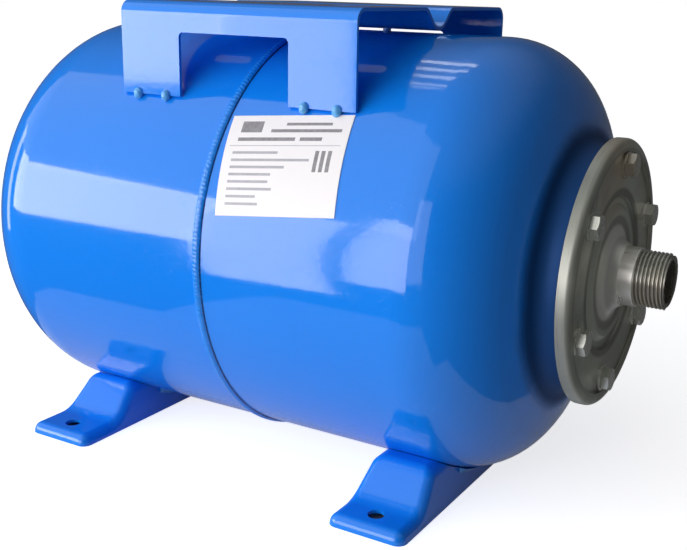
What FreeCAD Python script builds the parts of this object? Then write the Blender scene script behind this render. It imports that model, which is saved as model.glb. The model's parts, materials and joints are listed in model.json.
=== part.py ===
import FreeCAD, Part
import math
import os
import re
from FreeCAD import Placement, Rotation, Vector
from Sketcher import Constraint

# Horizontal well pressure tank of about 24 litres on two pressed feet, with a pump platform on
# top, a bolted inlet flange with a 1 inch stub at +X and an air valve at -X.
# The frame has +Z up and its origin on the floor, midway between the two ends of the tank.
# Lengths are in millimetres. Along the tank they count from the girth seam.

doc = FreeCAD.newDocument("pressure_tank")
sheet = doc.addObject("Spreadsheet::Sheet", "dims")

SIZES = {
    # shell
    "tank_radius": 132.5,
    "shell_wall": 1.2,
    "front_straight": 127.2,
    "rear_straight": 141.5,
    "knuckle": 51.5,
    "crown": 255,
    "floor_gap": 5.5,
    "joggle_length": 8,
    "joggle_gap": 0.15,
    "bead_half_width": 3,
    "bead_height": 1.8,
    # raised seat of the flange
    "neck_radius": 73,
    "neck_fillet": 8,
    "seat_rise": 2.1,
    "seat_shoulder": 4,
    "opening_radius": 50.5,
    # rubber bladder
    "lip_thick": 3,
    "lip_radius": 75.5,
    "bladder_wall": 2,
    "bladder_gap": 1,
    "bladder_radius": 104,
    "bladder_mouth": 22,
    "bladder_shoulder": 70,
    "bladder_back": 50,
    # ring with the threaded holes
    "ring_thick": 6,
    "ring_play": 1,
    # pressed flange
    "flange_sheet": 2.5,
    "rim_radius": 79.2,
    "rim_height": 1.9,
    "rim_width": 7.2,
    "rim_drop": 3.5,
    "rim_bend": 3.4,
    "land_inner": 46,
    "channel_depth": 2,
    "channel_width": 4.5,
    "ridge_radius": 37.5,
    "ridge_rise": 0.6,
    "valley_radius": 31.5,
    "boss_height": 7.8,
    "boss_sweep": 14,
    "boss_lip": 1,
    "press_draft": 1,
    "rim_draft": 0.2,
    "press_bend": 0.8,
    # bolts
    "bolt_circle": 63.6,
    "bolt_count": 6,
    "bolt_phase": 83.7,
    "bolt_radius": 4,
    "bolt_play": 0.5,
    "thread_play": 0.05,
    "bolt_length": 15,
    "head_flats": 13,
    "head_height": 5.7,
    "washer_radius": 8,
    "washer_thick": 1.5,
    "head_bevel": 30,
    # inlet stub
    "stub_out": 34.5,
    "stub_seat": 6.3,
    "thread_length": 18,
    "thread_radius": 16.6,
    "collar_radius": 17.4,
    "stub_gap": 0.1,
    "stub_bore": 12.75,
    "stub_chamfer": 1.2,
    # air valve
    "bush_radius": 9,
    "bush_proud": 1.5,
    "bush_depth": 7,
    "valve_radius": 4,
    "seal_thick": 1,
    "seal_radius": 6.5,
    "hex_flats": 11,
    "hex_height": 3,
    "stem_radius": 3.85,
    "stem_length": 7,
    "stem_bore": 2.6,
    "core_length": 11,
    "core_wall": 1.6,
    "pin_radius": 0.6,
    "pin_length": 14,
    "pin_sunk": 0.4,
    "cap_gap": 0.3,
    "cap_wall": 1.2,
    # feet
    "rear_foot_place": -125.3,
    "front_foot_place": 112.3,
    "foot_width": 50,
    "foot_spread": 129.5,
    "foot_sheet": 2,
    "pad_height": 7,
    "front_pad_length": 25,
    "rear_pad_length": 31.5,
    "foot_rise": 27.5,
    "foot_slope": 45,
    "wall_draft": 10.5,
    "foot_bend": 6.5,
    "toe_bend": 6,
    "knee_bend": 16,
    "crest_bend": 9,
    "saddle_gap": 0.2,
    "foot_hole": 5,
    "foot_hole_inset": 14.5,
    "foot_bead": 3,
    "bead_sweep_angle": 14,
    "bead_place_angle": 16,
    # pump platform
    "deck_length": 166.4,
    "deck_width": 194,
    "deck_rise": 15.4,
    "deck_sheet": 2,
    "deck_bend": 8,
    "leg_gap": 0.3,
    "window_length": 78,
    "window_drop": 17.7,
    "window_corner": 3,
    "groove_slope": 45,
    "groove_bend": 10,
    "shoulder_bend": 8,
    "slot_spacing": 100,
    "slot_row": 105,
    "slot_length": 30,
    "slot_width": 9,
    "leg_bead_radius": 2.8,
    "leg_bead_length": 1.4,
    "leg_bead_spread": 60.5,
    "leg_bead_step": 10.8,
    "tack_place": 46.6,
    "tack_radius": 2.5,
    # label
    "label_length": 78,
    "label_height": 59.6,
    "label_thick": 0.2,
    "label_film": 0.2,
    "label_place": 47,
    "label_drop": 34.3,
    "label_tilt": 5.9,
}
for row, (alias, number) in enumerate(SIZES.items(), start=1):
    sheet.set(f"A{row}", alias)
    sheet.set(f"B{row}", str(number))
    sheet.setAlias(f"B{row}", alias)
doc.recompute()


# expressions: a word that is an alias becomes a link to its cell
def link(text):
    return re.sub(r"[a-z][a-z_]*", lambda m: "dims." + m[0] if m[0] in SIZES else m[0], text)


def value(text):
    return float(sheet.evalExpression(link(text)))


def bind(thing, prop, text):
    thing.setExpression(prop, link(text))


# places that several pieces share, as expressions
def crown_centre(straight):
    return f"({straight} - sqrt((crown - knuckle)^2 - (tank_radius - knuckle)^2))"


FRONT_CROWN = crown_centre("front_straight")
REAR_CROWN = crown_centre("rear_straight")
REAR_REACH = f"({REAR_CROWN} + crown)"
SEAT_REACH = f"({FRONT_CROWN} + crown + seat_rise)"
LAND_REACH = f"({SEAT_REACH} + lip_thick + flange_sheet)"
STUB_REACH = f"({LAND_REACH} + stub_out)"
STEM_START = f"({REAR_REACH} + bush_proud + seal_thick)"
STEM_END = f"({STEM_START} + hex_height + stem_length)"
CAP_END = f"({STEM_END} + cap_gap + cap_wall)"
SEAM_PLACE = f"(({CAP_END} - {STUB_REACH}) / 2)"
AXIS_HEIGHT = "(tank_radius + floor_gap)"
LEG_FOOT = "(sqrt(tank_radius^2 - (deck_width / 2 - deck_sheet)^2) + leg_gap)"
GROOVE_UNDER = "(tank_radius + bead_height)"
DECK_TOP = "(tank_radius + deck_rise)"
WINDOW_TOP = f"({DECK_TOP} - window_drop)"


def place(thing, x="0", y="0", z="0"):
    bind(thing, "Placement.Base.x", f"{SEAM_PLACE} + {x}")
    bind(thing, "Placement.Base.y", y)
    bind(thing, "Placement.Base.z", f"{AXIS_HEIGHT} + {z}")


def new_body(label):
    body = doc.addObject("PartDesign::Body", label)
    body.Label = label
    place(body)
    return body


def origin_part(body, role):
    return next(item for item in body.Origin.OriginFeatures if item.Role == role)


# A sketch from closed outlines. A corner is (x, y), or (x, y, radius, side) where an arc leads to
# the next corner, with its centre on the left (1) or right (-1) of the way. A radius of "half"
# is a half circle between two corners of the same x.
def draw(body, name, plane, *outlines):
    sketch = body.newObject("Sketcher::SketchObject", name)
    sketch.AttachmentSupport = [(origin_part(body, plane), "")]
    sketch.MapMode = "FlatFace"
    for corners in outlines:
        add_outline(sketch, corners)
    return sketch


def add_outline(sketch, corners):
    spots = [Vector(value(corner[0]), value(corner[1]), 0) for corner in corners]
    first = sketch.GeometryCount
    starts = []
    for index, corner in enumerate(corners):
        here, there = spots[index], spots[(index + 1) % len(spots)]
        if len(corner) == 2:
            sketch.addGeometry(Part.LineSegment(here, there), False)
            starts.append((1, 2))
            continue
        chord, side = there - here, corner[3]
        radius = chord.Length / 2 if corner[2] == "half" else value(corner[2])
        reach = math.sqrt(radius**2 - (chord.Length / 2) ** 2)
        across = Vector(-chord.y, chord.x, 0).normalize()
        centre = (here + there) / 2 + across * reach * side
        ends = (here, there) if side > 0 else (there, here)
        angles = [math.atan2(end.y - centre.y, end.x - centre.x) for end in ends]
        circle = Part.Circle(centre, Vector(0, 0, 1), radius)
        sketch.addGeometry(Part.ArcOfCircle(circle, *angles), False)
        starts.append((1, 2) if side > 0 else (2, 1))
    for index, corner in enumerate(corners):
        geo, (start, end) = first + index, starts[index]
        after = (index + 1) % len(corners)
        sketch.addConstraint(Constraint("Coincident", geo, end, first + after, starts[after][0]))
        fix(sketch, "DistanceX", -2, geo, start, corner[0])
        fix(sketch, "DistanceY", -1, geo, start, corner[1])
        if len(corner) > 2 and corner[2] == "half":
            fix(sketch, "DistanceX", -2, geo, 3, corner[0])
        elif len(corner) > 2:
            mark = sketch.addConstraint(Constraint("Radius", geo, value(corner[2])))
            bind(sketch, f"Constraints[{mark}]", corner[2])


def fix(sketch, kind, axis, geo, point, text):
    if text == "0":
        sketch.addConstraint(Constraint("PointOnObject", geo, point, axis))
        return
    mark = sketch.addConstraint(Constraint(kind, -1, 1, geo, point, value(text)))
    bind(sketch, f"Constraints[{mark}]", text)


def circle_sketch(body, name, plane, x, y, radius):
    sketch = body.newObject("Sketcher::SketchObject", name)
    sketch.AttachmentSupport = [(origin_part(body, plane), "")]
    sketch.MapMode = "FlatFace"
    spot = Vector(value(x), value(y), 0)
    sketch.addGeometry(Part.Circle(spot, Vector(0, 0, 1), value(radius)), False)
    mark = sketch.addConstraint(Constraint("Radius", 0, value(radius)))
    bind(sketch, f"Constraints[{mark}]", radius)
    fix(sketch, "DistanceX", -2, 0, 3, x)
    fix(sketch, "DistanceY", -1, 0, 3, y)
    return sketch


# turning about the tank's axis
def turn(body, name, corners):
    sketch = draw(body, name + "_profile", "XZ_Plane", corners)
    spin = body.newObject("PartDesign::Revolution", name)
    spin.Profile = sketch
    spin.ReferenceAxis = (sketch, ["H_Axis"])
    spin.Angle = 360
    sketch.Visibility = False
    doc.recompute()
    return spin


def pad(body, name, sketch, length):
    solid = body.newObject("PartDesign::Pad", name)
    solid.Profile = sketch
    solid.Midplane = True
    bind(solid, "Length", length)
    doc.recompute()
    return solid


def cut_through(body, name, sketch):
    before = body.Shape.Volume
    hole = body.newObject("PartDesign::Pocket", name)
    hole.Profile = sketch
    hole.Type = "ThroughAll"
    hole.Midplane = True
    doc.recompute()
    if not body.Shape.Volume < before:
        raise RuntimeError(name + " cuts nothing")
    return hole


def repeat_round(body, name, feature):
    pattern = body.newObject("PartDesign::PolarPattern", name)
    pattern.Originals = [feature]
    pattern.Axis = (origin_part(body, "X_Axis"), [""])
    pattern.Angle = 360
    bind(pattern, "Occurrences", "bolt_count")
    body.Tip = pattern
    doc.recompute()
    return pattern


def round_edges(body, name, radius, wanted):
    base = body.Tip
    names = [f"Edge{i}" for i, edge in enumerate(base.Shape.Edges, start=1) if wanted(edge)]
    if not names:
        raise RuntimeError(name + " finds no edge")
    fillet = body.newObject("PartDesign::Fillet", name)
    fillet.Base = (base, names)
    bind(fillet, "Radius", radius)
    doc.recompute()
    return fillet


def near(first, second):
    return abs(first - second) < 0.01


def is_ring(edge, x, radius):
    round_edge = isinstance(edge.Curve, Part.Circle)
    return round_edge and near(edge.Curve.Center.x, value(x)) and near(edge.Curve.Radius, value(radius))


def edge_ends(edge):
    return [vertex.Point for vertex in edge.Vertexes]


def bolt_holes(body, radius):
    y = "bolt_circle * cos(bolt_phase)"
    z = "bolt_circle * sin(bolt_phase)"
    sketch = circle_sketch(body, "bolt_hole_place", "YZ_Plane", y, z, radius)
    hole = cut_through(body, "bolt_hole", sketch)
    return repeat_round(body, "bolt_holes", hole)


# the pressed outline of a half, offset inwards by a share of the wall
def tangent(crown_place, inset):
    share = f"(crown - {inset}) / (crown - knuckle)"
    along = "sqrt((crown - knuckle)^2 - (tank_radius - knuckle)^2)"
    return f"{crown_place} + {along} * {share}", f"(tank_radius - knuckle) * {share}"


def crown_at(crown_place, inset, radius):
    return f"{crown_place} + sqrt((crown - {inset})^2 - ({radius})^2)"


# front half: cylinder, knuckle and crown, then a fillet up to the raised seat
def make_front_shell():
    body = new_body("front_shell")
    fillet_x = f"({FRONT_CROWN} + sqrt((crown + neck_fillet)^2 - (neck_radius + neck_fillet)^2))"
    run = f"({fillet_x} - {FRONT_CROWN}) / (crown + neck_fillet)"
    rise = "(neck_radius + neck_fillet) / (crown + neck_fillet)"
    outer_x, outer_r = tangent(FRONT_CROWN, "0")
    inner_x, inner_r = tangent(FRONT_CROWN, "shell_wall")
    turn(body, "pressing", [
        ("0", "tank_radius"),
        ("front_straight", "tank_radius", "knuckle", -1),
        (outer_x, outer_r, "crown", -1),
        (f"{FRONT_CROWN} + crown * {run}", f"crown * {rise}", "neck_fillet", 1),
        (fillet_x, "neck_radius"),
        (f"{SEAT_REACH} - seat_shoulder", "neck_radius", "seat_shoulder", -1),
        (SEAT_REACH, "neck_radius - seat_shoulder"),
        (SEAT_REACH, "opening_radius"),
        (f"{SEAT_REACH} - shell_wall", "opening_radius"),
        (f"{SEAT_REACH} - shell_wall", "neck_radius - seat_shoulder", "seat_shoulder - shell_wall", 1),
        (f"{SEAT_REACH} - seat_shoulder", "neck_radius - shell_wall"),
        (fillet_x, "neck_radius - shell_wall", "neck_fillet + shell_wall", -1),
        (f"{FRONT_CROWN} + (crown - shell_wall) * {run}", f"(crown - shell_wall) * {rise}",
         "crown - shell_wall", 1),
        (inner_x, inner_r, "knuckle - shell_wall", 1),
        ("front_straight", "tank_radius - shell_wall"),
        ("0", "tank_radius - shell_wall"),
    ])
    bolt_holes(body, "bolt_radius + bolt_play")


# rear half: its rim is stepped in to slip inside the front half, and its crown has a hole
def make_rear_shell():
    body = new_body("rear_shell")
    outer_x, outer_r = tangent(REAR_CROWN, "0")
    inner_x, inner_r = tangent(REAR_CROWN, "shell_wall")
    step = "tank_radius - shell_wall - joggle_gap"
    turn(body, "pressing", [
        ("0", "tank_radius"),
        ("0", step),
        ("joggle_length", step),
        ("joggle_length", f"{step} - shell_wall"),
        ("-shell_wall", f"{step} - shell_wall"),
        ("-2 * shell_wall", "tank_radius - shell_wall"),
        ("-rear_straight", "tank_radius - shell_wall", "knuckle - shell_wall", 1),
        (f"-({inner_x})", inner_r, "crown - shell_wall", 1),
        (f"-({crown_at(REAR_CROWN, 'shell_wall', 'bush_radius')})", "bush_radius"),
        (f"-({crown_at(REAR_CROWN, '0', 'bush_radius')})", "bush_radius", "crown", -1),
        (f"-({outer_x})", outer_r, "knuckle", -1),
        ("-rear_straight", "tank_radius"),
    ])


# weld bead round the seam
def make_girth_weld():
    body = new_body("girth_weld")
    bead = "(bead_half_width^2 + bead_height^2) / (2 * bead_height)"
    turn(body, "bead", [
        ("-bead_half_width", "tank_radius", bead, -1),
        ("bead_half_width", "tank_radius"),
    ])


# ring behind the seat, with the threaded holes
def make_counter_flange():
    body = new_body("counter_flange")
    back = f"{SEAT_REACH} - shell_wall - ring_thick"
    outer = "neck_radius - seat_shoulder - ring_play"
    turn(body, "ring", [
        (back, "opening_radius"),
        (back, outer),
        (f"{SEAT_REACH} - shell_wall", outer),
        (f"{SEAT_REACH} - shell_wall", "opening_radius"),
    ])
    bolt_holes(body, "bolt_radius + thread_play")


# rubber bladder: clamped lip, mouth, widening shoulder, drum and round end
def make_membrane():
    body = new_body("membrane")
    mouth = "opening_radius - bladder_gap"
    front = f"({SEAT_REACH} + lip_thick)"
    neck_end = f"({SEAT_REACH} - bladder_mouth)"
    drum = f"({neck_end} - bladder_shoulder)"
    turn(body, "bladder", [
        (front, "lip_radius"),
        (SEAT_REACH, "lip_radius"),
        (SEAT_REACH, mouth),
        (neck_end, mouth),
        (drum, "bladder_radius"),
        ("-bladder_back", "bladder_radius", "bladder_radius", 1),
        ("-bladder_back - bladder_radius", "0"),
        ("-bladder_back - bladder_radius + bladder_wall", "0", "bladder_radius - bladder_wall", -1),
        ("-bladder_back", "bladder_radius - bladder_wall"),
        (drum, "bladder_radius - bladder_wall"),
        (neck_end, f"{mouth} - bladder_wall"),
        (front, f"{mouth} - bladder_wall"),
    ])
    bolt_holes(body, "bolt_radius + bolt_play")


# pressed flange: turned-back rim, bolt land, channel, ridge, valley and flared boss
def make_inlet_flange():
    body = new_body("inlet_flange")
    crest = "rim_radius - rim_width"
    channel = "land_inner - channel_width"
    back = [
        ("-flange_sheet - rim_drop", "rim_radius - flange_sheet"),
        ("rim_height - flange_sheet", "rim_radius - flange_sheet"),
        ("rim_height - flange_sheet", f"{crest} + flange_sheet"),
        ("-flange_sheet", crest),
        ("-flange_sheet", "land_inner + flange_sheet / 2"),
        ("-flange_sheet - channel_depth", "land_inner + flange_sheet / 2 - press_draft"),
        ("-flange_sheet - channel_depth", f"{channel} - flange_sheet / 2"),
        ("ridge_rise - flange_sheet", "ridge_radius - flange_sheet / 2"),
        ("-flange_sheet - ridge_rise", "valley_radius - flange_sheet / 2", "boss_sweep + flange_sheet", 1),
        ("boss_height - flange_sheet", "collar_radius + stub_gap"),
        ("boss_height", "collar_radius + stub_gap"),
    ]
    face = [
        ("boss_height", "collar_radius + boss_lip", "boss_sweep", -1),
        ("-ridge_rise", "valley_radius"),
        ("ridge_rise", "ridge_radius"),
        ("-channel_depth", channel),
        ("-channel_depth", "land_inner - press_draft"),
        ("0", "land_inner"),
        ("0", f"{crest} - rim_draft"),
        ("rim_height", crest),
        ("rim_height", "rim_radius"),
        ("-flange_sheet - rim_drop", "rim_radius"),
    ]
    turn(body, "pressing", [(f"{LAND_REACH} + {x}", r, *bend) for x, r, *bend in back + face])
    rim_top = f"{LAND_REACH} + rim_height"
    round_edges(body, "rim_edge", "rim_bend", lambda e: is_ring(e, rim_top, "rim_radius"))
    bends = [(f"{LAND_REACH} + {x}", r) for x, r, *bend in face[1:7] + face[8:9]]
    round_edges(body, "press_bends", "press_bend", lambda e: any(is_ring(e, x, r) for x, r in bends))
    bolt_holes(body, "bolt_radius + bolt_play")


# turned 1 inch stub, its thread taken as a plain cylinder of the crest radius
def make_inlet_nozzle():
    body = new_body("inlet_nozzle")
    turn(body, "stub", [
        (f"{LAND_REACH} + boss_height - stub_seat", "stub_bore"),
        (f"{LAND_REACH} + boss_height - stub_seat", "collar_radius"),
        (f"{STUB_REACH} - thread_length", "collar_radius"),
        (f"{STUB_REACH} - thread_length", "thread_radius"),
        (f"{STUB_REACH} - stub_chamfer", "thread_radius"),
        (STUB_REACH, "thread_radius - stub_chamfer"),
        (STUB_REACH, "stub_bore"),
    ])


# hex flange bolts in a circle, each pointing along the tank, with its head left at its own turn
HEAD_TURNS = (12, 28, 33, 5, 47, 20)


def make_bolts():
    for index in range(int(value("bolt_count"))):
        shank = doc.addObject("Part::Cylinder", f"shank_{index + 1}")
        bind(shank, "Radius", "bolt_radius")
        bind(shank, "Height", "bolt_length")
        bind(shank, "Placement.Base.z", "-bolt_length")
        washer = doc.addObject("Part::Cylinder", f"washer_{index + 1}")
        bind(washer, "Radius", "washer_radius")
        bind(washer, "Height", "washer_thick")
        prism = doc.addObject("Part::Prism", f"hexagon_{index + 1}")
        bind(prism, "Circumradius", "head_flats / sqrt(3)")
        prism.Placement = Placement(
            Vector(), Rotation(Vector(0, 0, 1), HEAD_TURNS[index % len(HEAD_TURNS)]))
        bevel = doc.addObject("Part::Cone", f"head_bevel_{index + 1}")
        bind(bevel, "Radius1", "head_flats / 2 + head_height / tan(head_bevel)")
        bind(bevel, "Radius2", "head_flats / 2")
        for solid in (prism, bevel):
            bind(solid, "Height", "head_height")
            bind(solid, "Placement.Base.z", "washer_thick")
        head = doc.addObject("Part::Common", f"head_{index + 1}")
        head.Base = prism
        head.Tool = bevel
        bolt = doc.addObject("Part::MultiFuse", f"flange_bolt_{index + 1}")
        bolt.Label = f"flange_bolt_{index + 1}"
        bolt.Shapes = [shank, washer, head]
        bolt.Placement = Placement(Vector(), Rotation(Vector(0, 1, 0), 90))
        angle = f"(bolt_phase + {index} * 360 / bolt_count)"
        place(bolt, LAND_REACH, f"bolt_circle * cos({angle})", f"bolt_circle * sin({angle})")


# air valve on the rear dome, turned pieces along -X
def make_air_valve():
    bush = new_body("valve_boss")
    inside = f"-({REAR_REACH}) + bush_depth"
    turn(bush, "bush", [
        (inside, "valve_radius + thread_play"),
        (f"-({REAR_REACH}) - bush_proud", "valve_radius + thread_play"),
        (f"-({REAR_REACH}) - bush_proud", "bush_radius"),
        (inside, "bush_radius"),
    ])
    seal = new_body("valve_seal")
    turn(seal, "washer", [
        (f"-({REAR_REACH}) - bush_proud", "valve_radius + thread_play"),
        (f"-({STEM_START})", "valve_radius + thread_play"),
        (f"-({STEM_START})", "seal_radius"),
        (f"-({REAR_REACH}) - bush_proud", "seal_radius"),
    ])
    stem = new_body("valve_stem")
    turn(stem, "stem", [
        (f"{inside} + 1", "stem_bore"),
        (f"{inside} + 1", "valve_radius"),
        (f"-({STEM_START})", "valve_radius"),
        (f"-({STEM_START})", "hex_flats / sqrt(3)"),
        (f"-({STEM_START}) - hex_height", "hex_flats / sqrt(3)"),
        (f"-({STEM_START}) - hex_height", "stem_radius"),
        (f"-({STEM_END})", "stem_radius"),
        (f"-({STEM_END})", "stem_bore"),
    ])
    core = new_body("valve_core")
    outside = f"-({STEM_END}) + pin_sunk * 2"
    turn(core, "core", [
        (outside, "stem_bore"),
        (f"{outside} + core_length", "stem_bore"),
        (f"{outside} + core_length", "stem_bore - core_wall"),
        (outside, "stem_bore - core_wall"),
    ])
    pin = new_body("valve_pin")
    tip = f"-({STEM_END}) + pin_sunk"
    turn(pin, "pin", [
        (tip, "0"),
        (tip, "pin_radius"),
        (f"{tip} + pin_length", "pin_radius"),
        (f"{tip} + pin_length", "0"),
    ])
    cap = new_body("valve_cap")
    mouth = f"-({STEM_START}) - hex_height - cap_gap"
    roof = f"-({STEM_END}) - cap_gap"
    turn(cap, "cap", [
        (mouth, "stem_radius + cap_gap"),
        (mouth, "stem_radius + cap_gap + cap_wall"),
        (f"-({CAP_END})", "stem_radius + cap_gap + cap_wall"),
        (f"-({CAP_END})", "0"),
        (roof, "0"),
        (roof, "stem_radius + cap_gap"),
    ])
    round_edges(cap, "cap_edge", "cap_wall / 2",
                lambda e: is_ring(e, f"-({CAP_END})", "stem_radius + cap_gap + cap_wall"))


# pressed foot: pads, slopes up to a flat top, leaning side walls and a saddle under the tank,
# hollow and open below
GROUND = f"(-{AXIS_HEIGHT})"


def foot_block(name, pad_length, inset):
    body = doc.addObject("PartDesign::Body", name)
    lean = "tan(wall_draft)"
    pad_top = f"({GROUND} + pad_height - {inset})"
    top = f"({GROUND} + foot_rise - {inset})"
    toe = f"(foot_spread - {inset})"
    knee = f"(foot_spread - {pad_length} - {inset} * tan(foot_slope / 2))"
    crest = f"({knee} - (foot_rise - pad_height) / tan(foot_slope))"
    right = [(toe, GROUND), (toe, pad_top), (knee, pad_top), (crest, top)]
    left = [(f"-{y}", z) for y, z in reversed(right)]
    outline = draw(body, name + "_outline", "YZ_Plane", right + left)
    pad(body, name + "_block", outline, f"foot_width - 2 * {inset}")
    half = f"(foot_width / 2 - {inset})"
    wedges = []
    for side in ("", "-"):
        wedges.append([
            (f"{side}{half}", GROUND),
            (f"{side}{half}", f"{top} + foot_sheet"),
            (f"{side}({half} - (foot_rise - {inset} + foot_sheet) * {lean})", f"{top} + foot_sheet"),
        ])
    cut_through(body, name + "_lean", draw(body, name + "_walls", "XZ_Plane", *wedges))
    ground, low, high = value(GROUND), value(pad_top), value(top)
    bend, rim, end, side = value(knee), value(crest), value(toe), value(half)
    slant = value(lean)

    def on_bend(edge, y, z):
        return all(near(abs(p.y), y) and near(p.z, z) for p in edge_ends(edge))

    def on_long_side(edge):
        spots = edge_ends(edge)
        same_side = all(p.x * spots[0].x > 0 for p in spots)
        on_wall = all(near(abs(p.x), side - (p.z - ground) * slant) for p in spots)
        return same_side and on_wall and all(p.z > low - 0.01 for p in spots)

    def on_toe(edge):
        spots = edge_ends(edge)
        return all(near(abs(p.y), end) for p in spots) and any(p.z > ground + 0.01 for p in spots)

    round_edges(body, name + "_knees", f"knee_bend + {inset}", lambda e: on_bend(e, bend, low))
    round_edges(body, name + "_crests", f"crest_bend - {inset}", lambda e: on_bend(e, rim, high))
    round_edges(body, name + "_sides", f"foot_bend - {inset}", on_long_side)
    round_edges(body, name + "_toes", f"toe_bend - {inset}", on_toe)
    saddle = circle_sketch(body, name + "_saddle", "YZ_Plane", "0", "0", f"tank_radius + saddle_gap + {inset}")
    cut_through(body, name + "_seat", saddle)
    return body


def make_foot(label, foot_place, pad_length):
    outer = foot_block(label + "_outer", pad_length, "0")
    hole_place = "(foot_spread - foot_hole_inset)"
    for side, sign in (("near", "-"), ("far", "")):
        spot = circle_sketch(outer, f"{label}_{side}_spot", "XY_Plane", "0", f"{sign}{hole_place}", "foot_hole")
        cut_through(outer, f"{label}_{side}_hole", spot)
    hollow = foot_block(label + "_hollow", pad_length, "foot_sheet")
    foot = doc.addObject("Part::Cut", label)
    foot.Label = label
    foot.Base = outer
    foot.Tool = hollow
    place(foot, foot_place)
    return outer


# short welds between the shell and the leaning side walls of a foot, low down where they are reached
def make_foot_welds(label, foot_place, block):
    bore = "(tank_radius + joggle_gap)"
    wall = f"(foot_width / 2 - ({AXIS_HEIGHT} - {bore} * cos(bead_place_angle)) * tan(wall_draft))"
    root = f"({wall} - foot_bead / 2)"
    beads = []
    for side in (1, -1):
        for end in (1, -1):
            name = f"{label}_{len(beads) + 1}"
            wedge = doc.addObject("Part::Cone", name + "_wedge")
            bind(wedge, "Radius1", f"{bore} + foot_bead * 3 / 2")
            bind(wedge, "Radius2", bore)
            core = doc.addObject("Part::Cylinder", name + "_core")
            bind(core, "Radius", bore)
            for solid in (wedge, core):
                bind(solid, "Angle", "bead_sweep_angle")
                bind(solid, "Height", "foot_bead * 3 / 2")
            bar = doc.addObject("Part::Cut", name + "_bar")
            bar.Base = wedge
            bar.Tool = core
            turned = Rotation(Vector(0, 1, 0), 90 * side)
            start = f"{90 - 90 * side} + {end} * bead_place_angle - bead_sweep_angle / 2"
            bar.Placement = Placement(Vector(), turned * Rotation(Vector(0, 0, 1), value(start)))
            bind(bar, "Placement.Base.x", f"{side} * {root}")
            bead = doc.addObject("Part::Cut", name)
            bead.Base = bar
            bead.Tool = block
            beads.append(bead)
    welds = doc.addObject("Part::Compound", label)
    welds.Label = label
    welds.Links = beads
    place(welds, foot_place)


# pump platform: one bent sheet with two lands, a groove between them and two skirts with legs
def make_pump_platform():
    body = new_body("pump_platform")
    half = "deck_width / 2"
    inner_half = f"({half} - deck_sheet)"
    under = f"({DECK_TOP} - deck_sheet)"
    lean, rise = "sin(groove_slope)", "(1 - cos(groove_slope))"
    low_y, low_z = f"(groove_bend * {lean})", f"({GROOVE_UNDER} + deck_sheet + groove_bend * {rise})"
    high_z = f"({DECK_TOP} - shoulder_bend * {rise})"
    high_y = f"({low_y} + ({high_z} - {low_z}) / tan(groove_slope))"
    shoulder = f"({high_y} + shoulder_bend * {lean})"
    across, down = f"deck_sheet * {lean}", "deck_sheet * cos(groove_slope)"
    right_top = [
        (half, LEG_FOOT),
        (half, f"{DECK_TOP} - deck_bend", "deck_bend", 1),
        (f"{half} - deck_bend", DECK_TOP),
        (shoulder, DECK_TOP, "shoulder_bend", 1),
        (high_y, high_z),
        (low_y, low_z, "groove_bend", -1),
    ]
    left_top = [
        (f"-{low_y}", low_z),
        (f"-{high_y}", high_z, "shoulder_bend", 1),
        (f"-{shoulder}", DECK_TOP),
        (f"-({half} - deck_bend)", DECK_TOP, "deck_bend", 1),
        (f"-({half})", f"{DECK_TOP} - deck_bend"),
        (f"-({half})", LEG_FOOT),
    ]
    left_under = [
        (f"-{inner_half}", LEG_FOOT),
        (f"-{inner_half}", f"{DECK_TOP} - deck_bend", "deck_bend - deck_sheet", -1),
        (f"-({half} - deck_bend)", under),
        (f"-{shoulder}", under, "shoulder_bend - deck_sheet", -1),
        (f"-({high_y} + {across})", f"{high_z} - {down}"),
        (f"-({low_y} + {across})", f"{low_z} - {down}", "groove_bend + deck_sheet", 1),
    ]
    right_under = [
        (f"{low_y} + {across}", f"{low_z} - {down}"),
        (f"{high_y} + {across}", f"{high_z} - {down}", "shoulder_bend - deck_sheet", -1),
        (shoulder, under),
        (f"{half} - deck_bend", under, "deck_bend - deck_sheet", -1),
        (inner_half, f"{DECK_TOP} - deck_bend"),
        (inner_half, LEG_FOOT),
    ]
    outline = draw(body, "section", "YZ_Plane", right_top + left_top + left_under + right_under)
    pad(body, "bent_sheet", outline, "deck_length")
    edge = "(window_length / 2)"
    window = draw(body, "window_outline", "XZ_Plane", [
        (f"-{edge}", f"{LEG_FOOT} - deck_sheet"),
        (edge, f"{LEG_FOOT} - deck_sheet"),
        (edge, f"{WINDOW_TOP} - window_corner", "window_corner", 1),
        (f"{edge} - window_corner", WINDOW_TOP),
        (f"-({edge} - window_corner)", WINDOW_TOP, "window_corner", 1),
        (f"-{edge}", f"{WINDOW_TOP} - window_corner"),
    ])
    cut_through(body, "windows", window)
    straight = "((slot_length - slot_width) / 2)"
    slots = []
    for side in ("", "-"):
        for end in ("", "-"):
            x, y = f"{end}slot_spacing / 2", f"{side}slot_row / 2"
            slots.append([
                (f"{x} - {straight}", f"{y} - slot_width / 2"),
                (f"{x} + {straight}", f"{y} - slot_width / 2", "half", 1),
                (f"{x} + {straight}", f"{y} + slot_width / 2"),
                (f"{x} - {straight}", f"{y} + slot_width / 2", "half", 1),
            ])
    cut_through(body, "slots", draw(body, "slot_outlines", "XY_Plane", *slots))
    return body


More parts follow.
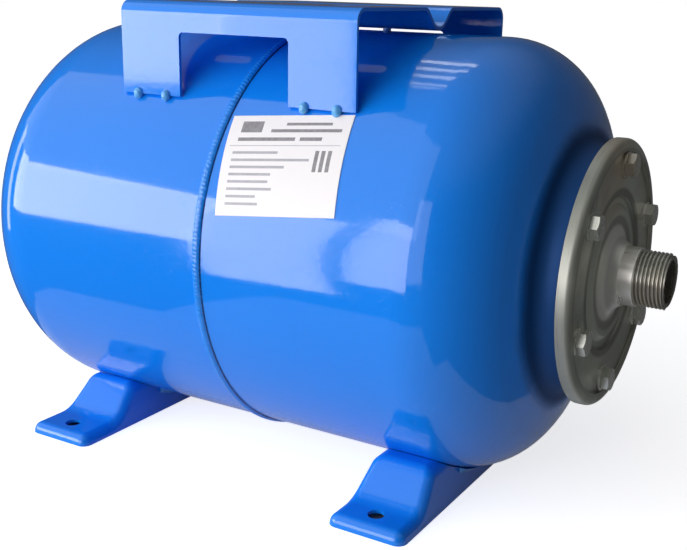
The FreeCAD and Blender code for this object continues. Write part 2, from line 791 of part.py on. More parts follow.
# weld beads at the platform's legs and two tacks under its groove
def make_platform_welds(platform):
    tank = doc.addObject("Part::Cylinder", "tank_space")
    bind(tank, "Radius", "tank_radius")
    bind(tank, "Height", "2 * deck_length")
    tank.Placement = Placement(Vector(), Rotation(Vector(0, 1, 0), 90))
    place(tank, "-deck_length")
    beads = []
    for side in ("", "-"):
        for end in ("", "-"):
            for step in ("+", "-"):
                name = f"leg_bead_{len(beads) + 1}"
                x = f"{end}(leg_bead_spread {step} leg_bead_step)"
                y = f"{side}(deck_width / 2 + leg_gap)"
                bar = doc.addObject("Part::Cylinder", name)
                bind(bar, "Radius", "leg_bead_radius")
                bind(bar, "Height", "leg_bead_length")
                place(bar, x, y, f"{LEG_FOOT} - leg_bead_length / 2")
                ends = [doc.addObject("Part::Sphere", f"{name}_{end_name}") for end_name in ("low", "high")]
                for sphere, sign in zip(ends, ("-", "+")):
                    bind(sphere, "Radius", "leg_bead_radius")
                    place(sphere, x, y, f"{LEG_FOOT} {sign} leg_bead_length / 2")
                beads.append(fused(name + "_whole", [bar, *ends]))
    for end in ("", "-"):
        tack = doc.addObject("Part::Cylinder", f"tack_{len(beads) + 1}")
        bind(tack, "Radius", "tack_radius")
        bind(tack, "Height", f"{GROOVE_UNDER} - tank_radius + deck_sheet")
        place(tack, f"{end}tack_place", "0", "tank_radius - deck_sheet")
        beads.append(tack)
    seated = doc.addObject("Part::Cut", "platform_beads")
    seated.Base = fused("platform_bead_set", beads)
    seated.Tool = tank
    welds = doc.addObject("Part::Cut", "platform_welds")
    welds.Label = "platform_welds"
    welds.Base = seated
    welds.Tool = platform
    return welds


def fused(name, shapes):
    union = doc.addObject("Part::MultiFuse", name)
    union.Shapes = shapes
    return union


# printed label on the front half, bent to the shell and cut out at the beads that it meets
def make_data_label(beads):
    skin = doc.addObject("Part::Cylinder", "label_skin")
    bind(skin, "Radius", "tank_radius + label_film + label_thick")
    core = doc.addObject("Part::Cylinder", "label_core")
    bind(core, "Radius", "tank_radius + label_film")
    for tube in (skin, core):
        bind(tube, "Height", "front_straight")
        tube.Placement = Placement(Vector(), Rotation(Vector(0, 1, 0), 90))
        place(tube)
    sleeve = doc.addObject("Part::Cut", "label_sleeve")
    sleeve.Base = skin
    sleeve.Tool = core
    sheet_box = doc.addObject("Part::Box", "label_outline")
    bind(sheet_box, "Length", "label_length")
    bind(sheet_box, "Width", "tank_radius")
    bind(sheet_box, "Height", "label_height")
    leg_angle = math.degrees(math.atan2(value(LEG_FOOT), value("deck_width / 2")))
    angle = leg_angle - math.degrees(value("label_drop / tank_radius"))
    tilt = value("label_tilt")
    sheet_box.Placement = Placement(
        Vector(), Rotation(Vector(1, 0, 0), -angle) * Rotation(Vector(0, 1, 0), -tilt))
    corner = sheet_box.Placement.Rotation.multVec(
        Vector(-value("label_length") / 2, -1.5 * value("tank_radius"), -value("label_height") / 2))
    place(sheet_box, f"label_place + ({corner.x})", f"{corner.y}", f"{corner.z}")
    blank = doc.addObject("Part::Common", "label_blank")
    blank.Base = sleeve
    blank.Tool = sheet_box
    label = doc.addObject("Part::Cut", "data_label")
    label.Label = "data_label"
    label.Base = blank
    label.Tool = beads


make_front_shell()
make_rear_shell()
make_girth_weld()
make_counter_flange()
make_membrane()
make_inlet_flange()
make_inlet_nozzle()
make_bolts()
make_air_valve()
for end in ("rear", "front"):
    block = make_foot(end + "_foot", end + "_foot_place", end + "_pad_length")
    make_foot_welds(end + "_foot_welds", end + "_foot_place", block)
make_data_label(make_platform_welds(make_pump_platform()))
doc.recompute()

BOLTS = [f"flange_bolt_{index + 1}" for index in range(int(value("bolt_count")))]
NODES = [
    "rear_shell", "front_shell", "girth_weld", "counter_flange", "membrane", "inlet_flange",
    "inlet_nozzle", *BOLTS, "valve_boss", "valve_seal", "valve_stem", "valve_core", "valve_pin",
    "valve_cap", "rear_foot", "front_foot", "rear_foot_welds", "front_foot_welds",
    "pump_platform", "platform_welds", "data_label",
]
for item in doc.Objects:
    if {"Invalid", "Error"} & set(item.State):
        raise RuntimeError(f"{item.Label} failed")
os.makedirs("parts", exist_ok=True)
for node in NODES:
    shape = doc.getObjectsByLabel(node)[0].Shape
    if shape.isNull() or not shape.isValid():
        raise RuntimeError(f"{node} has no valid shape")
    shape.exportStep(f"parts/{node}.step")
    print(node, len(shape.Solids), round(shape.Volume), shape.BoundBox)
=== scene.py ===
import json
import math
import bpy
from mathutils import Matrix, Vector


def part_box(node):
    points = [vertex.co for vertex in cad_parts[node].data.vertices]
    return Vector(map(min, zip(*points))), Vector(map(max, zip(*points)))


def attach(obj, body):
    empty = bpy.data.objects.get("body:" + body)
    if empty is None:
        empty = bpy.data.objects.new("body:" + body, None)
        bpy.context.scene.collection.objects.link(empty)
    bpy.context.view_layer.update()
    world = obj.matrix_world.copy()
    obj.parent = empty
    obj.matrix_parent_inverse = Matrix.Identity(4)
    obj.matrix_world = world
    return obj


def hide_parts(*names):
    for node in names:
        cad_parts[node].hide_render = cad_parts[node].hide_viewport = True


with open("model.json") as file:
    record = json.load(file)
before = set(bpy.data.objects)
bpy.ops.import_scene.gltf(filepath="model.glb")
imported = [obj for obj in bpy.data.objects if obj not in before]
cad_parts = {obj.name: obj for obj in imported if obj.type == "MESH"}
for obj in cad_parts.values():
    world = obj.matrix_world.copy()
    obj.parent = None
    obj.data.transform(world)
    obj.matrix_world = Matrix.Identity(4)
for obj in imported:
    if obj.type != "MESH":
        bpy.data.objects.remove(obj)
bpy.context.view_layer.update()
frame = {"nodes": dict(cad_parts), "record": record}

nodes = frame["nodes"]
mm = 0.001


def middle(node):
    low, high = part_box(node)
    return (Vector(low) + Vector(high)) / 2


seamX = middle("girth_weld").x    # the seam along X and the tank's axis above the floor
axisZ = middle("girth_weld").z


# shader maths: a wrapped socket takes part in Python expressions
class Signal:
    def __init__(self, finish, socket):
        self.finish = finish
        self.socket = socket

    def maths(self, operation, *others):
        return self.finish.add("ShaderNodeMath", {"operation": operation}, dict(enumerate((self, *others))))

    def __add__(self, other):
        return self.maths("ADD", other)

    def __sub__(self, other):
        return self.maths("SUBTRACT", other)

    def __rsub__(self, other):
        return self.finish.add("ShaderNodeMath", {"operation": "SUBTRACT"}, {0: other, 1: self})

    def __mul__(self, other):
        return self.maths("MULTIPLY", other)

    def __truediv__(self, other):
        return self.maths("DIVIDE", other)

    def __pow__(self, other):
        return self.maths("POWER", other)

    def __gt__(self, other):
        return self.maths("GREATER_THAN", other)

    def __lt__(self, other):
        return self.maths("LESS_THAN", other)

    def __mod__(self, other):
        return self.maths("FLOORED_MODULO", other)

    def sine(self):
        return self.maths("SINE")

    def size(self):
        return self.maths("ABSOLUTE")

    def atMost(self, other):
        return self.maths("MINIMUM", other)

    def atLeast(self, other):
        return self.maths("MAXIMUM", other)

    def between(self, low, high):
        return (self > low) * (self < high)

    def ramp(self, low, high):    # 0 below low, 1 above high
        return self.finish.add("ShaderNodeMapRange", {"interpolation_type": "SMOOTHSTEP"}, {
            "Value": self, "From Min": low, "From Max": high})

    __radd__ = __add__
    __rmul__ = __mul__


class Finish:
    def __init__(self, name, world=False, **sockets):
        self.block = (bpy.data.worlds if world else bpy.data.materials).new(name)
        self.block.use_nodes = True
        self.tree = self.block.node_tree
        self.shader = self.tree.nodes["Background" if world else "Principled BSDF"]
        coordinates = self.tree.nodes.new("ShaderNodeTexCoord")
        self.place = self.signal(coordinates, "Generated" if world else "Object")
        self.set(**sockets)

    def signal(self, node, output):
        return Signal(self, node.outputs[output])

    def feed(self, socket, value):
        if isinstance(value, Signal):
            self.tree.links.new(value.socket, socket)
            return
        if isinstance(value, tuple) and socket.type == "RGBA":
            value = (*value, 1)
        socket.default_value = value

    def add(self, kind, settings=None, sockets=None, output=0):
        node = self.tree.nodes.new(kind)
        for key, value in (settings or {}).items():
            setattr(node, key, value)
        for key, value in (sockets or {}).items():
            self.feed(node.inputs[key], value)
        return self.signal(node, output)

    def set(self, **sockets):
        for key, value in sockets.items():
            self.feed(self.shader.inputs[key.replace("_", " ")], value)

    def noise(self, scale, detail=2, roughness=0.5, place=None):
        return self.add("ShaderNodeTexNoise", None, {
            "Vector": place or self.place, "Scale": scale, "Detail": detail, "Roughness": roughness})

    def stretched(self, x, y, z):    # the object's place, scaled along each axis
        return self.add("ShaderNodeVectorMath", {"operation": "MULTIPLY"}, {0: self.place, 1: (x, y, z)})

    def mix(self, share, first, second):
        return self.add("ShaderNodeMix", {"data_type": "RGBA"}, {0: share, 6: first, 7: second}, 2)

    def parts(self):
        node = self.tree.nodes.new("ShaderNodeSeparateXYZ")
        self.feed(node.inputs[0], self.place)
        return [self.signal(node, index) for index in range(3)]

    def round(self):    # distance from the tank's axis, and the angle about it
        x, y, z = self.parts()
        z = z - axisZ
        return x, (y * y + z * z) ** 0.5, z.maths("ARCTAN2", y * -1)

    def seen(self, mirrored=1.0):    # 1 for the camera, and a share for mirrors and glass
        path = self.tree.nodes.new("ShaderNodeLightPath")
        kinds = ("Camera", "Glossy", "Transmission")
        camera, glossy, through = (self.signal(path, f"Is {kind} Ray") for kind in kinds)
        return (camera + (glossy + through) * mirrored).atMost(1)

    def show(self, shader):
        output = next(node for node in self.tree.nodes if node.type.startswith("OUTPUT"))
        self.tree.links.new(shader.socket, output.inputs["Surface"])

    def bump(self, height, distance, strength=1.0, normal=None):
        sockets = {"Height": height, "Distance": distance, "Strength": strength}
        if normal:
            sockets["Normal"] = normal
        return self.add("ShaderNodeBump", None, sockets)


paintLooks = {
    "colour": (0.006, 0.25, 0.90),
    "deepColour": (0.004, 0.22, 0.83),
    "roughness": 0.085,
    "scuffed": 0.06,         # roughness that scuffs add
    "coat": 0.3,
    "coatRoughness": 0.03,
    "peelSize": 330,         # orange peel, cells a metre
    "peelHeight": 0.00006,
    "ripple": 0.0005,        # slow waves left by the press
    "speckShare": 0.71,      # above this a fine noise shows a speck of dust in the paint
    "speckHeight": 0.00005,
}
# painted shade in the recess behind the flange: darker, duller paint where the dome's shadow falls; edge in mm
# from the axis, behind is metres from the seam
neckLooks = {"colour": (0.003, 0.05, 0.18), "edge": (79, 91), "behind": 0.15,
             "share": 0.9, "dull": 0.5, "metal": 0.4}
# painted shade: a dark line where the girth bead meets the front half; side in mm from the seam
creviceShadeLooks = {"colour": (0.002, 0.03, 0.13), "side": (2.45, 3.6), "share": 0.85}
weldLooks = {**paintLooks, "colour": (0.012, 0.29, 0.88), "ripple": 0.0008}
# painted highlight: the weld drops get a paler paint
dropLooks = {**paintLooks, "colour": (0.20, 0.56, 0.92), "deepColour": (0.06, 0.36, 0.80), "ripple": 0.001}


def paintFinish(name, looks, lumps=0.0, crevice=None, neck=None):
    finish = Finish(name, Coat_Roughness=looks["coatRoughness"])
    drift = finish.noise(7, 3)
    colour = finish.mix(drift, looks["deepColour"], looks["colour"])
    roughness = finish.noise(55, 4, 0.65).ramp(0.52, 0.72) * looks["scuffed"] + looks["roughness"]
    coat = looks["coat"]
    waves = finish.bump(finish.noise(11, 1), looks["ripple"], 0.5)
    peel = finish.bump(finish.noise(looks["peelSize"], 2), looks["peelHeight"], 0.4, waves)
    specks = finish.noise(900, 0).ramp(looks["speckShare"], 0.78)
    normal = finish.bump(specks, looks["speckHeight"], 0.6, peel)
    if lumps:    # uneven scales of a weld bead
        x, radius, angle = finish.round()
        wobble = finish.noise(150, 3, 0.6)
        scales = (angle * 330 + wobble * 11 + x * 500).sine()
        normal = finish.bump(scales * 0.12 + wobble, lumps, 0.8, normal)
    if neck:
        # painted shade: the paint near the axis behind the flange made dark
        x, radius, angle = finish.round()
        near, far = (part * mm for part in neck["edge"])
        uneven = finish.noise(24, 3) * 0.006 - 0.003
        paintedShade = (1 - (radius + uneven).ramp(near, far)) * (x > seamX + neck["behind"])
        colour = finish.mix(paintedShade * neck["share"], colour, neck["colour"])
        roughness = paintedShade * neck["dull"] + roughness
        coat = looks["coat"] - paintedShade * looks["coat"]
        finish.set(Metallic=paintedShade * neck["metal"])    # the painted shade mirrors mostly its own dark colour
    if crevice:
        # painted shade in the crevice beside the bead
        side = (x - seamX) * 1000
        line = side.between(*crevice["side"]) * (finish.noise(60, 2).ramp(0.3, 0.45) * 0.5 + 0.5)
        colour = finish.mix(line * crevice["share"], colour, crevice["colour"])
    finish.set(Base_Color=colour, Roughness=roughness, Coat_Weight=coat, Normal=normal)
    return finish.block


zincLooks = {
    "light": (0.66, 0.69, 0.58), "dark": (0.47, 0.50, 0.43), "warm": (0.58, 0.51, 0.40),
    "dust": (0.16, 0.16, 0.135), "roughness": 0.33, "metal": 0.7,
    # mm from the axis: painted highlight towards the neck, and dull where the rim turns back
    "highlightColour": (0.96, 0.95, 0.86), "highlightEdge": (23, 36), "rim": (70, 76), "rimDull": 0.14,
    # pressed rings: middle and half width in mm, share of darkening
    "grooves": ((47.5, 4.2, 0.75), (31.5, 4.0, 0.6), (72, 3.0, 0.4), (20.5, 3.0, 0.3)),
}
boltZincLooks = {
    **zincLooks, "light": (0.84, 0.85, 0.77), "dark": (0.58, 0.60, 0.53), "roughness": 0.24, "metal": 0.8,
}
threadZincLooks = {
    **zincLooks, "light": (0.88, 0.89, 0.79), "dark": (0.68, 0.70, 0.60), "roughness": 0.27,
    "thread": (15.3, 16.3), "collar": 16.7,    # mm from the axis: painted shade in the thread's grooves, and a painted highlight on the collar
}


def zincFinish(name, looks, thread=False, grooved=False):
    finish = Finish(name)
    x, radius, angle = finish.round()
    spangle = finish.noise(45, 4, 0.62)
    cloud = finish.noise(14, 3)
    colour = finish.mix(spangle, looks["dark"], looks["light"])
    colour = finish.mix(cloud.ramp(0.45, 0.62) * 0.8, colour, looks["warm"])
    scratches = finish.noise(30, 5, 0.7, finish.stretched(30, 1, 1)).ramp(0.56, 0.7)
    colour = finish.mix(scratches * 0.35, colour, looks["dust"])
    if thread:    # painted shade in the thread's grooves, and a painted highlight on the collar
        low, high = (part * mm for part in looks["thread"])
        grooves = 1 - radius.ramp(low, high)
        colour = finish.mix(grooves * 0.75, colour, looks["dust"])
        colour = finish.mix(radius > looks["collar"] * mm, colour, looks["highlightColour"])
    if grooved:    # darker in the pressed rings, and a painted highlight towards the neck
        near, far = (part * mm for part in looks["highlightEdge"])
        colour = finish.mix((1 - radius.ramp(near, far)) * 0.85, colour, looks["highlightColour"])
        streaks = finish.noise(9, 4, 0.6)
        colour = finish.mix(streaks.ramp(0.42, 0.62) * 0.4, colour, looks["dust"])
        for centre, half, share in looks["grooves"]:
            near = 1 - (radius - centre * mm).size().ramp(half * mm * 0.35, half * mm)
            colour = finish.mix(near * share, colour, looks["dust"])
    finish.set(Base_Color=colour, Metallic=looks["metal"])
    low, high = (part * mm for part in looks["rim"])
    dull = spangle * 0.22 + scratches * 0.12 + radius.ramp(low, high) * looks["rimDull"]
    finish.set(Roughness=dull + (looks["roughness"] - 0.1))
    rings = finish.bump((radius * 5200).sine(), 0.000012, 0.4)    # fine marks of turning
    finish.set(Normal=finish.bump(finish.noise(700, 3), 0.00003, 0.4, rings))
    return finish.block


def plainFinish(name, colour, roughness, metallic=0.0, grain=600, height=0.00003, ribs=0):
    finish = Finish(name, Metallic=metallic)
    mottle = finish.noise(45, 3)
    dark = tuple(part * 0.75 for part in colour)
    finish.set(Base_Color=finish.mix(mottle, dark, colour), Roughness=mottle * 0.15 + (roughness - 0.07))
    normal = finish.bump(finish.noise(grain, 2), height, 0.4)
    if ribs:    # grip ribs round the tank's axis
        x, radius, angle = finish.round()
        normal = finish.bump((angle * ribs).sine(), 0.0003, 0.7, normal)
    finish.set(Normal=normal)
    return finish.block


# the printed label: places in mm from its middle, along and up its tilted sides
labelLooks = {
    "middle": (47, 28.87), "tilt": 5.9,    # mm from the seam and degrees above the front
    "radius": 132.7, "rowHalf": 0.75, "blockStep": 4, "blockBar": 2.4,    # mm
    "film": (0.93, 0.925, 0.90), "ink": (0.16, 0.16, 0.17), "paleInk": (0.36, 0.37, 0.40),
    "bars": (
        (-31, -17, 18.8, 26.0), (-2, 27, 23.2, 25.0), (-11, 34, 18.8, 20.8),
        (-31.5, 6, 13.4, 15.6), (9, 23, 13.4, 15.6),
    ),
    "rule": (-36, 35.5, 10.3, 10.7),
    "rows": ((-33, -3, 6.3), (-33, 18, 1.9), (-33, 3, -2.3), (-33, -5, -6.5),
             (-33, -6, -10.7), (-33, -3, -14.9), (-33, -13, -19.1), (-33, -11, -23.3)),
    "block": (21, 32, -5, 7.4),
}


def labelFinish(name, looks):
    finish = Finish(name)
    x, radius, angle = finish.round()
    centre, lift = looks["middle"]
    along = (x - (seamX + centre * mm)) * 1000
    up = (angle - math.radians(lift)) * looks["radius"]
    tilt = math.radians(looks["tilt"])
    u = along * math.cos(tilt) + up * math.sin(tilt)
    v = up * math.cos(tilt) - along * math.sin(tilt)
    paper = finish.noise(130, 3)
    colour = finish.mix(paper * 0.5, looks["film"], tuple(part * 0.96 for part in looks["film"]))
    dark = 0
    for left, right, low, high in looks["bars"]:
        dark = u.between(left, right) * v.between(low, high) + dark
    left, right, low, high = looks["rule"]
    pale = u.between(left, right) * v.between(low, high)
    half = looks["rowHalf"]
    for left, right, row in looks["rows"]:
        pale = u.between(left, right) * v.between(row - half, row + half) + pale
    left, right, low, high = looks["block"]
    stripes = ((u - left) % looks["blockStep"]) < looks["blockBar"]
    block = u.between(left, right) * v.between(low, high) * stripes
    wear = finish.noise(400, 2) * 0.3 + 0.7    # ink a little uneven
    colour = finish.mix(pale.atMost(1) * wear, colour, looks["paleInk"])
    colour = finish.mix((dark + block).atMost(1) * wear, colour, looks["ink"])
    finish.set(Base_Color=colour, Roughness=paper * 0.12 + 0.36)
    finish.set(Normal=finish.bump(finish.noise(60, 2), 0.0003, 0.25))
    return finish.block


bluePaint = paintFinish("bluePaint", paintLooks)
neckShadePaint = paintFinish("neckShadePaint", paintLooks, neck=neckLooks)
weldPaint = paintFinish("weldPaint", weldLooks, lumps=0.0009, crevice=creviceShadeLooks)
dropHighlightPaint = paintFinish("dropHighlightPaint", dropLooks, lumps=0.0009)
zincPlate = zincFinish("zincPlate", zincLooks)
flangeZinc = zincFinish("flangeZinc", zincLooks, grooved=True)
boltZinc = zincFinish("boltZinc", boltZincLooks)
threadZinc = zincFinish("threadZinc", threadZincLooks, thread=True)
blackRubber = plainFinish("blackRubber", (0.03, 0.03, 0.032), 0.6)
brass = plainFinish("brass", (0.75, 0.56, 0.26), 0.3, 1.0)
blackPlastic = plainFinish("blackPlastic", (0.025, 0.025, 0.027), 0.42, ribs=26)
labelFilm = labelFinish("labelFilm", labelLooks)
print("finishes made")

bySlot = {
    "blue_paint": bluePaint, "zinc_steel": zincPlate, "black_rubber": blackRubber,
    "brass": brass, "black_plastic": blackPlastic, "label_film": labelFilm,
}
slotOf = {part["node"]: part["material_slot"] for part in frame["record"]["subparts"]}
special = {
    "front_shell": neckShadePaint, "girth_weld": weldPaint, "inlet_flange": flangeZinc,
    "platform_welds": dropHighlightPaint, "front_foot_welds": dropHighlightPaint, "rear_foot_welds": dropHighlightPaint,
}
for name, node in nodes.items():
    node.data.materials.clear()
    finish = boltZinc if "bolt" in name else special.get(name, bySlot[slotOf[name]])
    node.data.materials.append(finish)


hair = 0.000002    # vertices nearer than this are one


def deselect():
    if bpy.context.mode != "OBJECT":
        bpy.ops.object.mode_set(mode="OBJECT")
    bpy.ops.object.select_all(action="DESELECT")


def pick(piece, kind, wanted):    # in edit mode, select the vertices or faces whose place a test wants
    faces = kind == "faces"
    bpy.ops.mesh.select_mode(type="FACE" if faces else "VERT")
    bpy.ops.mesh.select_all(action="DESELECT")
    bpy.ops.object.mode_set(mode="OBJECT")
    for item in piece.data.polygons if faces else piece.data.vertices:
        item.select = wanted(item.center if faces else item.co)
    bpy.ops.object.mode_set(mode="EDIT")


def settle(piece, name, material, sharp=35):
    bpy.ops.mesh.select_all(action="SELECT")
    bpy.ops.mesh.remove_doubles(threshold=hair)
    bpy.ops.mesh.normals_make_consistent(inside=False)
    bpy.ops.object.mode_set(mode="OBJECT")
    bpy.ops.object.transform_apply(location=True, rotation=True, scale=True)
    bpy.ops.object.shade_smooth_by_angle(angle=math.radians(sharp))
    piece.modifiers.new("normals", "WEIGHTED_NORMAL").keep_sharp = True
    bpy.ops.object.modifier_apply(modifier="normals")
    piece.name = name
    piece.data.materials.clear()
    piece.data.materials.append(material)
    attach(piece, "tank")


def outline(points):    # a closed line of points (along X, radius) in the plane below the axis
    deselect()
    spots = [Vector((x, -radius, axisZ)) for x, radius in points]
    bpy.ops.mesh.primitive_plane_add(size=0.001, location=spots[0])
    line = bpy.context.object
    bpy.ops.object.transform_apply(location=True, rotation=True, scale=True)
    bpy.ops.object.mode_set(mode="EDIT")
    bpy.ops.mesh.select_all(action="SELECT")
    bpy.ops.mesh.merge(type="CENTER")
    for before, after in zip(spots, spots[1:]):
        bpy.ops.mesh.extrude_region_move(TRANSFORM_OT_translate={"value": after - before})
    pick(line, "vertices", lambda p: min((p - spots[0]).length, (p - spots[-1]).length) < 0.000001)
    bpy.ops.mesh.edge_face_add()
    return line


def spinRound(steps=96):
    bpy.ops.mesh.select_all(action="SELECT")
    bpy.ops.mesh.spin(steps=steps, angle=2 * math.pi, center=(0, 0, axisZ), axis=(1, 0, 0))
    bpy.ops.mesh.select_all(action="SELECT")
    bpy.ops.mesh.remove_doubles(threshold=hair)


nozzleLooks = {    # mm
    "collarEnd": 15.0, "radius": 17.4, "bore": 12.75, "crest": 16.6, "root": 15.1, "core": 14.8,
    "pitch": 2.309, "steps": 64, "chamfer": 1.2, "edge": 0.6, "lip": 0.4,
    "short": 0.1, "sunk": 0.2, "tuck": 0.3,    # clear of the CAD box and the thread's end, into the collar
    "profile": (0, 0, 0.3, 0.72, 1, 1, 0.72, 0.3),    # depth of the thread along one pitch
}


# turned stub: a spun tube with a thread wound by the screw modifier, cut square at both ends
def makeNozzle(looks):
    low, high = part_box("inlet_nozzle")
    start, end = low[0], high[0]
    size = {key: value * mm for key, value in looks.items() if key not in ("steps", "profile")}
    end -= size["short"]
    collarEnd = start + size["collarEnd"]
    face = end - size["sunk"]
    bore, radius, core, edge, lip = (size[key] for key in ("bore", "radius", "core", "edge", "lip"))
    tube = outline([
        (start, bore), (start, radius), (collarEnd - edge, radius),
        (collarEnd - edge * 0.3, radius - edge * 0.3), (collarEnd, radius - edge), (collarEnd, core),
        (face, core), (face, bore + lip), (face - lip, bore),
    ])
    spinRound()
    settle(tube, "nozzleBody", threadZinc)
    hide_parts("inlet_nozzle")

    deselect()
    pitch, crest, root, chamfer = (size[key] for key in ("pitch", "crest", "root", "chamfer"))
    first = collarEnd - 1.5 * pitch
    bpy.ops.mesh.primitive_plane_add(size=pitch, location=(first, -crest - pitch / 2, axisZ))
    thread = bpy.context.object
    bpy.ops.object.transform_apply(location=True, rotation=True, scale=True)
    bpy.ops.object.mode_set(mode="EDIT")
    pick(thread, "vertices", lambda p: p.y < -crest - pitch / 2)
    bpy.ops.mesh.delete(type="VERT")
    bpy.ops.mesh.select_all(action="SELECT")
    bpy.ops.mesh.subdivide(number_cuts=len(looks["profile"]) - 1)
    for index, share in enumerate(looks["profile"]):
        at = first - pitch / 2 + index * pitch / len(looks["profile"])
        pick(thread, "vertices", lambda p: abs(p.x - at) < pitch / 40)
        bpy.ops.transform.translate(value=(0, (crest - root) * share, 0))
    bpy.ops.object.mode_set(mode="OBJECT")
    pivot = bpy.data.objects.new("pivot", None)
    bpy.context.scene.collection.objects.link(pivot)
    pivot.location = (0, 0, axisZ)
    turns = thread.modifiers.new("turns", "SCREW")
    turns.axis, turns.object, turns.screw_offset = "X", pivot, pitch
    turns.iterations = int((end - collarEnd) / pitch) + 3
    turns.steps = turns.render_steps = looks["steps"]
    bpy.context.view_layer.update()
    bpy.ops.object.modifier_apply(modifier="turns")
    bpy.data.objects.remove(pivot)
    bpy.ops.object.mode_set(mode="EDIT")
    begin = collarEnd - size["tuck"]
    for spot, way in ((begin, -1), (end, 1)):
        bpy.ops.mesh.select_all(action="SELECT")
        bpy.ops.mesh.bisect(plane_co=(spot, 0, 0), plane_no=(way, 0, 0), clear_outer=True)
    chamferStart = end - chamfer
    bpy.ops.mesh.select_all(action="SELECT")
    bpy.ops.mesh.bisect(plane_co=(chamferStart, 0, 0), plane_no=(1, 0, 0))
    shrink = 1 - chamfer / crest
    pick(thread, "vertices", lambda p: p.x > chamferStart + 0.00001)
    bpy.ops.transform.resize(value=(1, shrink, shrink), center_override=(end, 0, axisZ))
    for x, share in ((end, 0.9), (begin, 0.85)):    # close both ends down to the tube
        pick(thread, "vertices", lambda p: abs(p.x - x) < 0.00001)
        bpy.ops.mesh.extrude_region_move(TRANSFORM_OT_translate={"value": (0, 0, 0)})
        bpy.ops.transform.resize(value=(1, share, share), center_override=(x, 0, axisZ))
    settle(thread, "nozzleThread", threadZinc, sharp=50)


makeNozzle(nozzleLooks)
print("nozzle made")


floorLooks = {
    "colour": (0.74, 0.75, 0.77), "glow": 0.77, "mirrored": 0.17,
    "sheets": ((-270, 240, -215, 215), (-150, 190, -400, -215)),    # mm, the pale floor that mirrors see
    "underFoot": (21, 124),    # mm, half sizes of the shade inside each foot
}


# a pale floor that the camera sees white, with the object's shadow
def makeFloor(looks):
    finish = Finish("studioFloor", Base_Color=looks["colour"], Roughness=0.9)
    x, y, z = finish.parts()
    wide, long = (part * mm for part in looks["underFoot"])
    rear, front = (((x - middle(foot).x).size() < wide) for foot in ("rear_foot", "front_foot"))
    shade = (rear + front) * (y.size() < long)
    strength = finish.seen(looks["mirrored"]) * looks["glow"] * (1 - shade)
    glow = finish.add("ShaderNodeEmission", None, {"Color": (1, 1, 1), "Strength": strength})
    finish.show(finish.add("ShaderNodeAddShader", None, {0: finish.signal(finish.shader, 0), 1: glow}))
    deselect()
    bpy.ops.mesh.primitive_plane_add(size=16, location=(0, 0, 0))
    floor = bpy.context.object
    floor.name = "studioFloor"
    floor.data.materials.append(finish.block)
    bpy.ops.object.mode_set(mode="EDIT")
    sheets = [[edge * mm for edge in sheet] for sheet in looks["sheets"]]
    for spot in sorted({place for left, right, low, high in sheets
                        for place in ((left, 0, 0), (right, 0, 0), (0, low, 0), (0, high, 0))}):
        bpy.ops.mesh.select_all(action="SELECT")
        bpy.ops.mesh.bisect(plane_co=spot, plane_no=spot)
    pick(floor, "faces", lambda p: any(
        left < p.x < right and low < p.y < high for left, right, low, high in sheets))
    bpy.ops.mesh.separate(type="SELECTED")
    bpy.ops.object.mode_set(mode="OBJECT")
    sheet = next(thing for thing in bpy.context.selected_objects if thing != floor)
    sheet.name = "floorSheet"
    floor.visible_glossy = False


# the opening: azimuths and elevations of its edges, in degrees
roomLooks = {"radius": 3, "level": 0.09, "ceiling": 0.35, "opening": (-178, -88, 19, 62)}
coolWhite = (0.95, 0.97, 1)


# the dark room that shiny surfaces see, open to the white background at the upper left
def makeRoom(looks):
    finish = Finish("studioRoom")
    x, y, z = finish.parts()
    high = (z / looks["radius"]).ramp(0.5, 0.9)
    strength = high * (looks["ceiling"] - looks["level"]) + looks["level"]
    finish.show(finish.add("ShaderNodeEmission", None, {"Color": coolWhite, "Strength": strength}))
    deselect()
    bpy.ops.mesh.primitive_uv_sphere_add(segments=72, ring_count=48, radius=looks["radius"], location=(0, 0, 0))
    room = bpy.context.object
    room.name = "studioRoom"
    room.data.materials.append(finish.block)
    left, right, low, high = looks["opening"]
    bpy.ops.object.mode_set(mode="EDIT")
    pick(room, "faces", lambda p: left < math.degrees(math.atan2(p.x, p.y)) < right
         and low < math.degrees(math.asin(p.z / p.length)) < high)
    bpy.ops.mesh.delete(type="FACE")
    bpy.ops.object.mode_set(mode="OBJECT")
    room.visible_camera = room.visible_diffuse = room.visible_shadow = False


# bright strips overhead, seen by shiny surfaces alone: x, y at both ends and the width, in m
blindLooks = {"height": 2.2, "radiance": 3.2, "strips": (
    (-1.14, 1.293, -0.442, 1.01, 0.10), (-1.059, 0.965, -0.549, 0.815, 0.09),
    (-1.009, 0.702, -0.71, 0.613, 0.08), (-0.974, 0.449, -0.843, 0.43, 0.05),
    (-0.961, 0.35, -0.874, 0.353, 0.03),
)}


def makeBlind(looks):
    finish = Finish("blindGlow")
    sockets = {"Color": coolWhite, "Strength": looks["radiance"]}
    finish.show(finish.add("ShaderNodeEmission", None, sockets))
    for number, (x1, y1, x2, y2, width) in enumerate(looks["strips"], 1):
        deselect()
        bpy.ops.mesh.primitive_plane_add(size=1, location=((x1 + x2) / 2, (y1 + y2) / 2, looks["height"]),
                                         rotation=(0, 0, math.atan2(y2 - y1, x2 - x1)))
        strip = bpy.context.object
        strip.scale = (math.hypot(x2 - x1, y2 - y1), width, 1)
        bpy.ops.object.transform_apply(location=True, rotation=True, scale=True)
        strip.name = f"blindStrip{number}"
        strip.data.materials.append(finish.block)
        strip.visible_camera = strip.visible_diffuse = strip.visible_shadow = False


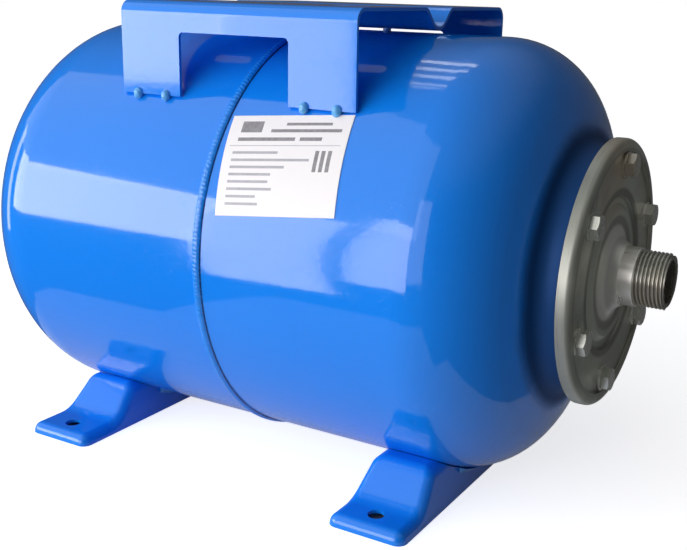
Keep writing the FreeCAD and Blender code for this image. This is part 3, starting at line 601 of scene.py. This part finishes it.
# window panels at the front left, 2.2 m away
windowLooks = {"distance": 2.2, "colour": (1, 0.94, 1), "panels": (
    # name, what it is aimed at in m, azimuth, elevations and width in degrees, radiance
    ("windowFar", (-0.1, -0.1, 0.15), -99, (-12, 20), 8, 2.6),
    ("windowLeft", (-0.08, -0.13, 0.17), -127.2, (-3.5, 18.3), 30.3, 6.2),
    ("windowMiddle", (0.03, -0.13, 0.15), -144.6, (-16.5, 17.5), 9.4, 4.7),
    ("windowRight", (0.12, -0.12, 0.165), -160, (-10, 22), 22, 4.3),
    ("windowTail", (0.15, -0.12, 0.165), 180, (-6, 36), 18, 1.3),
)}


def makeWindow(looks, name, aim, azimuth, elevations, width, radiance):
    distance = looks["distance"]
    low, high = (distance * math.tan(math.radians(part)) for part in elevations)
    around = math.radians(azimuth)
    way = Vector((math.sin(around), math.cos(around), 0))
    lamp = bpy.data.lights.new(name, "AREA")
    lamp.shape = "RECTANGLE"
    lamp.size = 2 * distance * math.tan(math.radians(width / 2))
    lamp.size_y = high - low
    lamp.energy = radiance * math.pi * lamp.size * lamp.size_y
    lamp.color = looks["colour"]
    thing = bpy.data.objects.new(name, lamp)
    bpy.context.scene.collection.objects.link(thing)
    place = Vector(aim) + way * distance + Vector((0, 0, (low + high) / 2))
    thing.matrix_world = Matrix.Translation(place) @ (-way).to_track_quat("-Z", "Y").to_matrix().to_4x4()


worldLooks = {"aim": (-0.559, -0.599, 0.574), "soft": 1.2, "room": 0.045}


# a soft glow from the upper left, and white wherever the background itself is seen
def makeWorld(looks):
    world = Finish("studioWorld", world=True)
    sockets = {0: world.place, 1: looks["aim"]}
    facing = world.add("ShaderNodeVectorMath", {"operation": "DOT_PRODUCT"}, sockets, 1)
    x, y, z = world.parts()
    level = facing.atLeast(0) ** 3 * z.ramp(-0.05, 0.25) * looks["soft"] + looks["room"]
    light = world.add("ShaderNodeBackground", None, {"Color": coolWhite, "Strength": level})
    white = world.add("ShaderNodeBackground", None, {"Color": (1, 1, 1), "Strength": 1.0})
    world.show(world.add("ShaderNodeMixShader", None, {0: world.seen(), 1: light, 2: white}))
    bpy.context.scene.world = world.block


cameraLooks = {
    "place": (363.41, -573.57, 294.77),   # mm
    "yaw": 29.02, "pitch": -15.48, "roll": 1.55,
    "picture": (687, 550), "focal": 1024.44, "centre": (388.15, 274.51),    # in pixels
    "sensor": 36,                         # mm
}


def makeCamera(looks):
    yaw, pitch, roll = (math.radians(looks[key]) for key in ("yaw", "pitch", "roll"))
    flat = math.cos(pitch)
    forward = Vector((-math.sin(yaw) * flat, math.cos(yaw) * flat, math.sin(pitch)))
    level = forward.cross(Vector((0, 0, 1))).normalized()
    upright = level.cross(forward)
    right = level * math.cos(roll) + upright * math.sin(roll)
    up = upright * math.cos(roll) - level * math.sin(roll)
    data = bpy.data.cameras.new("photoCamera")
    width, height = looks["picture"]
    data.sensor_width = looks["sensor"]
    data.lens = looks["focal"] * looks["sensor"] / width
    data.shift_x = (width / 2 - looks["centre"][0]) / width
    data.shift_y = (looks["centre"][1] - height / 2) / width
    camera = bpy.data.objects.new("photoCamera", data)
    bpy.context.scene.collection.objects.link(camera)
    turn = Matrix((right, up, -forward)).transposed().to_4x4()
    camera.matrix_world = Matrix.Translation(Vector(looks["place"]) * mm) @ turn
    bpy.context.scene.camera = camera


makeFloor(floorLooks)
makeRoom(roomLooks)
makeBlind(blindLooks)
makeWorld(worldLooks)
for panel in windowLooks["panels"]:
    makeWindow(windowLooks, *panel)
makeCamera(cameraLooks)
bpy.context.scene.view_settings.view_transform = "Standard"
print("studio made")
